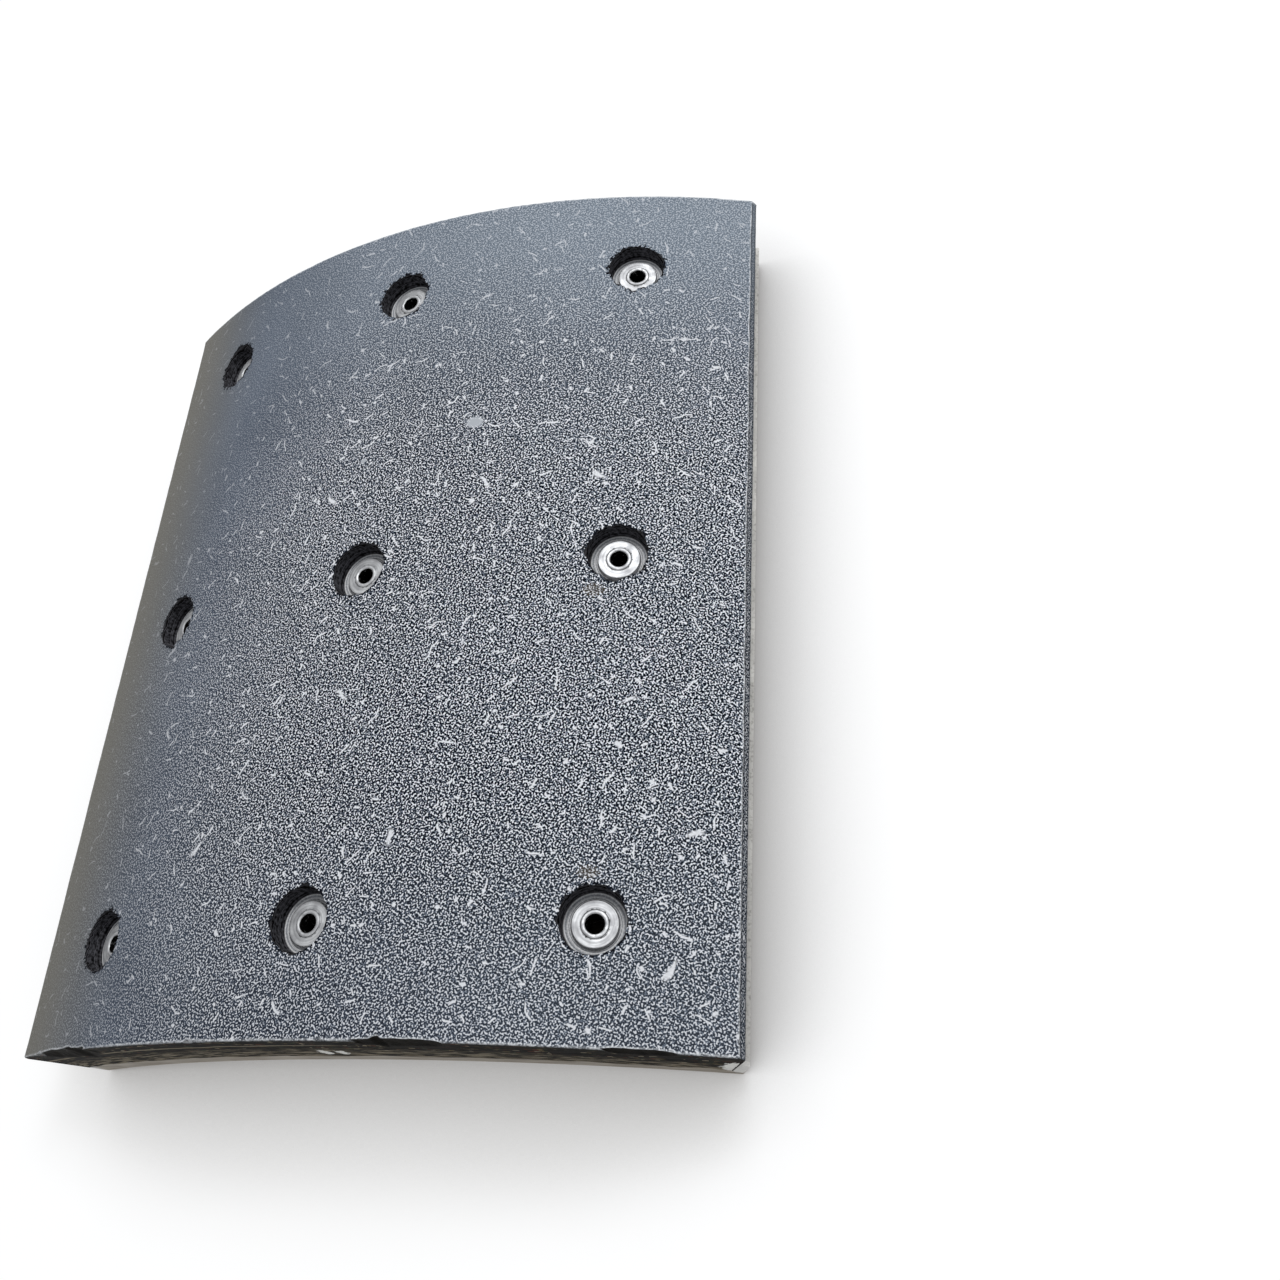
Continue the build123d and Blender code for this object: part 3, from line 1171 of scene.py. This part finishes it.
        edge_line = np.stack([wide, 90 * side_q, uq * 100], -1)
        bruise = 0.7 + 0.5 * fractal_noise(edge_line, 5.0, 61)
        margin = {0.18: 0, 0.36: 0, 0.54: 0, 0.7: 0, 0.83: 0, 0.92: 0, 0.955: 0.5, 1.0: 1}
        for part, worn in margin.items():
            p, q = between(inner_p, edge_p, part), between(inner_q, edge_q, part)
            add_row(p, q, 0 * p, face=1.0, wear=bruise * worn)
        for part in (0.1, 0.3, 0.5, 0.7, 0.88):
            p, q, h = between(edge_p, wide, part), between(edge_q, top_q, part), depth * part
            arch = math.sin(math.pi * part)
            ripple = fractal_noise(FORM.place(p, q, h), 1.6, 71) * 0.22 * fresh * arch
            sag = 0.035 * fresh * depth * arch
            q = q - side_q * np.maximum(ripple + sag + 0.02, 0)
            h = h + np.maximum(0.4 * ripple, 0)
            add_row(
                p, q, h,
                face=(1 - fresh) * (1 - part) + on_end * part,
                fresh=fresh,
                wear=bruise * (1 - fresh) * (1 - on_end) * (0.9 - 0.5 * part),
                bevel=on_end * (0.3 + 0.7 * abs(2 * part - 1)),
            )
        bottom = FORM.thickness(wide)
        for part in np.linspace(0, 1, 17):
            h = between(depth, bottom, part)
            drawn = FORM.place(wide, top_q, h) * [0.35, 1, 1.2]
            rough = self.side_rough * (1 + fractal_noise(drawn, 2.4, 81))
            rough = rough * (0.15 + 0.85 * math.sin(math.pi * min(part * 2.5 + 0.08, 0.5)))
            rough = np.where(corner, 0.05, rough)
            at_top = float(part == 0)
            add_row(
                wide - side_p * rough, top_q - side_q * rough, h,
                face=on_end * at_top,
                fresh=fresh * smooth(0.2, 0.0, np.float64(part)),
                wear=0.4 * on_end * at_top,
                bevel=on_end * at_top,
            )
        numbers = stack.sheet(self.buffer)
        self.stitch(numbers[0], 0.0)
        self.stitch(numbers[-1], 1.0)

    def stitch(self, fine: Array, level: float) -> None:
        """Joins the cells' outer border to a fine row, several points to each border step.

        Args:
            fine: point numbers of the fine row.
            level: 0 on the friction face, 1 on the underside.
        """
        p_lines, q_lines = self.cell_borders()
        up, uq, _, _ = self.unit_loop(1, 1)
        p, q = up * p_lines[-1], uq * q_lines[-1]
        border = RowStack()
        places = FORM.place(p, q, level * FORM.thickness(p))
        border.add(places, p, q, face=1 - level, wall=0.5 * level)
        coarse = border.sheet(self.buffer)[0]
        count = 3 * self.cell_steps
        fine_ring = np.append(fine, fine[0])
        coarse_ring = np.append(coarse, coarse[0])
        start = 0
        for side, steps in enumerate((self.near_steps, *[self.side_steps] * 3)):
            first = start + np.arange(count)[:, None] * steps
            many = fine_ring[first + np.arange(steps + 1)]
            few = coarse_ring[side * count + np.arange(count)[:, None] + np.array([1, 0])]
            self.buffer.faces.append(np.concatenate([many, few], 1))
            start += count * steps

    def build(self) -> Object:
        """Builds the whole lining as one closed mesh.

        Returns:
            The lining's object.
        """
        for column in Column:
            for row in Row:
                self.add_cell(column, row)
        self.add_belt()
        return self.buffer.to_object(f"{self.node}_surface", sharp_degrees=38)


# ---- Tubular rivets -----------------------------------------------------------------


@dataclass(frozen=True)
class TubularRivet(Piece):
    """A clinched tubular rivet, its section turned about its axis."""

    column: Column
    row: Row
    slot: Slot = Slot.RIVET
    finish: Finish = ZincPlatedSteel()
    bore_radius: float = 2.1
    shank_radius: float = 3.0
    head_radius: float = 5.2
    lip_width: float = 1.0
    lip_height: float = 0.4
    edge_radius: float = 0.4
    flare_radius: float = 1.5
    roll_height: float = 1.2
    turns: int = 112

    @property
    def node(self) -> str:
        """The CAD node that this rivet stands for."""
        return f"rivet_{self.row.name.lower()}_{self.column.name.lower()}"

    def section(self) -> tuple[Array, Array]:
        """The closed section as radius and height above the seat.

        Returns:
            The section's points, and for each how much painted shade it has.
        """
        top = FORM.face_height(self.column) - FORM.head_sink
        under = top - FORM.head_thickness
        bottom_radius = self.bore_radius + self.flare_radius
        tail_radius = bottom_radius + self.roll_height
        tail_top = math.sqrt(FORM.plate_inner_radius**2 - tail_radius**2) - FORM.seat_radius
        tail_bottom = tail_top - self.roll_height
        lip_end = self.bore_radius + self.lip_width

        def arc(centre: tuple, wide: float, high: float, turns: tuple, count: int) -> Array:
            """Points of an ellipse's arc about its centre, from one angle to another."""
            turn = np.linspace(*turns, count)
            return np.array(centre) + np.stack([wide * np.cos(turn), high * np.sin(turn)], -1)

        half, quarter = math.pi, math.pi / 2
        middle = self.bore_radius + self.lip_width / 2
        corner, mouth = self.head_radius - self.edge_radius, tail_bottom + self.flare_radius
        lip_shade = np.interp(np.arange(11), [0, 3, 7, 10], [1.0, 0.2, 0.1, 0.55])
        flat_r = np.linspace(lip_end + 0.45, corner, 14)
        flat = np.stack([flat_r, top - 0.04 * np.sin((flat_r - lip_end) * 1.3) ** 2], -1)
        shank_r = [self.head_radius, self.shank_radius, self.shank_radius, tail_radius]
        bore = np.stack([np.full(6, self.bore_radius), np.linspace(mouth, top, 8)[1:-1]], -1)
        edge, roll, flare = self.edge_radius, self.roll_height, self.flare_radius
        # lip, groove, flat, edge, shank, rolled tail, flare and bore, each with its share of
        # painted shade
        runs = (
            (arc((middle, top), self.lip_width / 2, self.lip_height, (half, 0), 11), lip_shade),
            ([[lip_end + 0.08, top - 0.05], [lip_end + 0.22, top - 0.05]], 0.62),
            (flat, np.linspace(0.2, 0, 14)),
            (arc((corner, top - edge), edge, edge, (quarter, 0), 6)[1:], 0.3),
            (np.stack([shank_r, [under, under, tail_top, tail_top]], -1), 0.6),
            (arc((bottom_radius, tail_top), roll, roll, (0, -quarter), 8)[1:], 0.15),
            (arc((bottom_radius, mouth), flare, flare, (-quarter, -half), 8)[1:], 0.3),
            (bore, 1.0),
        )
        grime = [np.broadcast_to(value, len(points)) for points, value in runs]
        return np.concatenate([points for points, _ in runs]), np.concatenate(grime)

    def build(self) -> Object:
        """Turns the section round the rivet's axis, with a lip that is a little uneven.

        Returns:
            The rivet's object.
        """
        section, grime = self.section()
        point, along, out = FORM.rivet_axes(self.column)
        rise = FORM.face_height(self.column)
        seat = point - rise * out + self.row.value * FORM.row_pitch * ACROSS
        angle = np.linspace(0, 2 * math.pi, self.turns, endpoint=False)
        spoke = np.cos(angle)[:, None] * along + np.sin(angle)[:, None] * ACROSS
        radius, height = section[:, 0][:, None], section[:, 1][:, None]
        seed = 100 + 10 * self.column.value + self.row.value
        ring = np.stack([3 * np.cos(angle), 3 * np.sin(angle), 0 * angle], -1)
        dent = fractal_noise(ring, 1.1, seed)[None, :]
        from_lip = (radius - self.bore_radius - self.lip_width / 2) / 0.5
        on_lip = np.exp(-(from_lip**2)) * (height > rise - FORM.head_sink + 0.01)
        height = height - on_lip * (0.09 + 0.14 * dent)
        radius = radius + on_lip * 0.09 * fractal_noise(ring, 1.6, seed + 50)[None, :]
        points = seat + radius[..., None] * spoke + height[..., None] * out
        shape = points.shape[:-1]
        across = [np.broadcast_to(values, shape) for values in (radius, angle * 3, float(seed))]
        buffer = MeshBuffer()
        tags = {"grime": grime[:, None], SKIN: np.stack(across, -1)}
        buffer.join(buffer.add_points(points, tags), closed_rows=True)
        return buffer.to_object(f"{self.node}_turned", sharp_degrees=40)


# ---- Shoe plate ---------------------------------------------------------------------


@dataclass(frozen=True)
class ShoePlate(Piece):
    """The rolled plate under the lining, whose CAD solid is kept as it is."""

    node: str = "shoe_plate"
    slot: Slot = Slot.PLATE
    finish: Finish = RolledSteelPlate()

    def build(self) -> Object:
        """Takes the CAD plate."""
        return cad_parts[self.node]


# ---- Room, light and camera ---------------------------------------------------------


@dataclass(frozen=True)
class Studio:
    """White floor, soft light from the far right and the camera above the near side.

    Directions and places of the camera are its right, its down, its view and its point.
    """

    camera_mm: Vector3 = (175.77, -150.92, 275.84)
    right: Vector3 = (0.91779, 0.06122, -0.39233)
    down: Vector3 = (-0.12746, -0.89034, -0.43709)
    view: Vector3 = (-0.37606, 0.45116, -0.80934)
    lens: float = 36.352
    shift: tuple[float, float] = (0.0252, -0.0188)
    floor_half: float = 4.0
    lamp_place: Vector3 = (0.36, 0.50, 0.95)
    lamp_aim: Vector3 = (0.0, 0.0, 0.03)
    lamp_size: float = 0.4
    lamp_watts: float = 7.0
    sky: float = 0.45

    def seen_rays(self, add: partial) -> Node:
        """1 for rays from the camera and for what gloss and glass show, 0 for rays that light.

        Args:
            add: add_node for the floor's or the sky's tree.

        Returns:
            A node that gives 1 or 0.
        """
        rays = add("LightPath").outputs
        first = add("Math.MAXIMUM", rays["Is Camera Ray"], rays["Is Glossy Ray"])
        return add("Math.MAXIMUM", first, rays["Is Transmission Ray"])

    def add_floor(self) -> None:
        """Adds the floor: matt white, and where seen it glows, which hides most of its real shadow;
        close by, the glow is darkened brown as a painted contact shadow.
        """
        half = self.floor_half
        corners = [(-half, -half, 0), (half, -half, 0), (half, half, 0), (-half, half, 0)]
        mesh = bpy.data.meshes.new("floor")
        mesh.from_pydata(corners, [], [(0, 1, 2, 3)])
        material = bpy.data.materials.new("white_floor")
        add = empty_tree(material)
        matt = add("BsdfDiffuse", Color="#efeeec")
        # painted contact shadow: the glow turns brown where the shoe is close
        near = add("AmbientOcclusion", Distance=0.05, samples=16).outputs["AO"]
        near = add("MapRange", near, 0.2, 0.9)
        painted_shadow_glow = add("Mix.RGBA", near, "#4a4237", (1.0, 0.995, 0.985, 1.0))
        glow = add("Emission", Color=painted_shadow_glow, Strength=0.8)
        seen = add("AddShader", add("BsdfDiffuse", Color="#8f9194"), glow)
        add("OutputMaterial", Surface=add("MixShader", self.seen_rays(add), matt, seen))
        mesh.materials.append(material)
        link("floor", mesh)

    def add_light(self) -> None:
        """Adds an even pale sky, white where seen, and one large soft lamp."""
        world = bpy.data.worlds.new("sky")
        add = empty_tree(world)
        soft = add("Background", Color="#f4f6fa", Strength=self.sky)
        plain = add("Background", Color="#ffffff", Strength=1.0)
        add("OutputWorld", Surface=add("MixShader", self.seen_rays(add), soft, plain))
        bpy.context.scene.world = world

        lamp = bpy.data.lights.new("window", "AREA")
        lamp.size = self.lamp_size
        lamp.energy = self.lamp_watts
        back = np.array(self.lamp_place) - self.lamp_aim
        back /= np.linalg.norm(back)
        side = np.cross([0, 0, 1.0], back)
        side /= np.linalg.norm(side)
        self.put(link("window", lamp), side, np.cross(back, side), back, self.lamp_place)

    def put(self, thing: Object, *columns: Array | Vector3) -> None:
        """Places a lamp or camera.

        Args:
            thing: the lamp or camera.
            columns: its right, up and back directions and its point, in metres.
        """
        matrix = np.eye(4)
        matrix[:3] = np.stack([np.array(column, float) for column in columns], -1)
        thing.matrix_world = Matrix(matrix.tolist())

    def add_camera(self) -> None:
        """Adds the camera from its place and its three directions."""
        data = bpy.data.cameras.new("camera")
        data.sensor_width = 36.0
        data.sensor_fit = "HORIZONTAL"
        data.lens = self.lens
        data.shift_x, data.shift_y = self.shift
        data.clip_start = 0.01
        camera = link("camera", data)
        place = np.array(self.camera_mm) * MM
        self.put(camera, self.right, -np.array(self.down), -np.array(self.view), place)
        bpy.context.scene.camera = camera

    def build(self) -> None:
        """Adds floor, light and camera, and the plain view transform."""
        self.add_floor()
        self.add_light()
        self.add_camera()
        bpy.context.scene.view_settings.view_transform = "Standard"


# ---- The whole shoe -----------------------------------------------------------------


def main() -> None:
    """Builds the shoe's pieces in order, then the room."""
    logging.basicConfig(level=logging.INFO, format="%(name)s: %(message)s")
    rivets = [TubularRivet(column, row) for row in Row for column in Column]
    for part in (FrictionLining(), *rivets, ShoePlate()):
        piece = part.build()
        part.dress(piece)
        LOG.info("%s: %d faces", piece.name, len(piece.data.polygons))

    Studio().build()


if __name__ == "__main__":
    main()
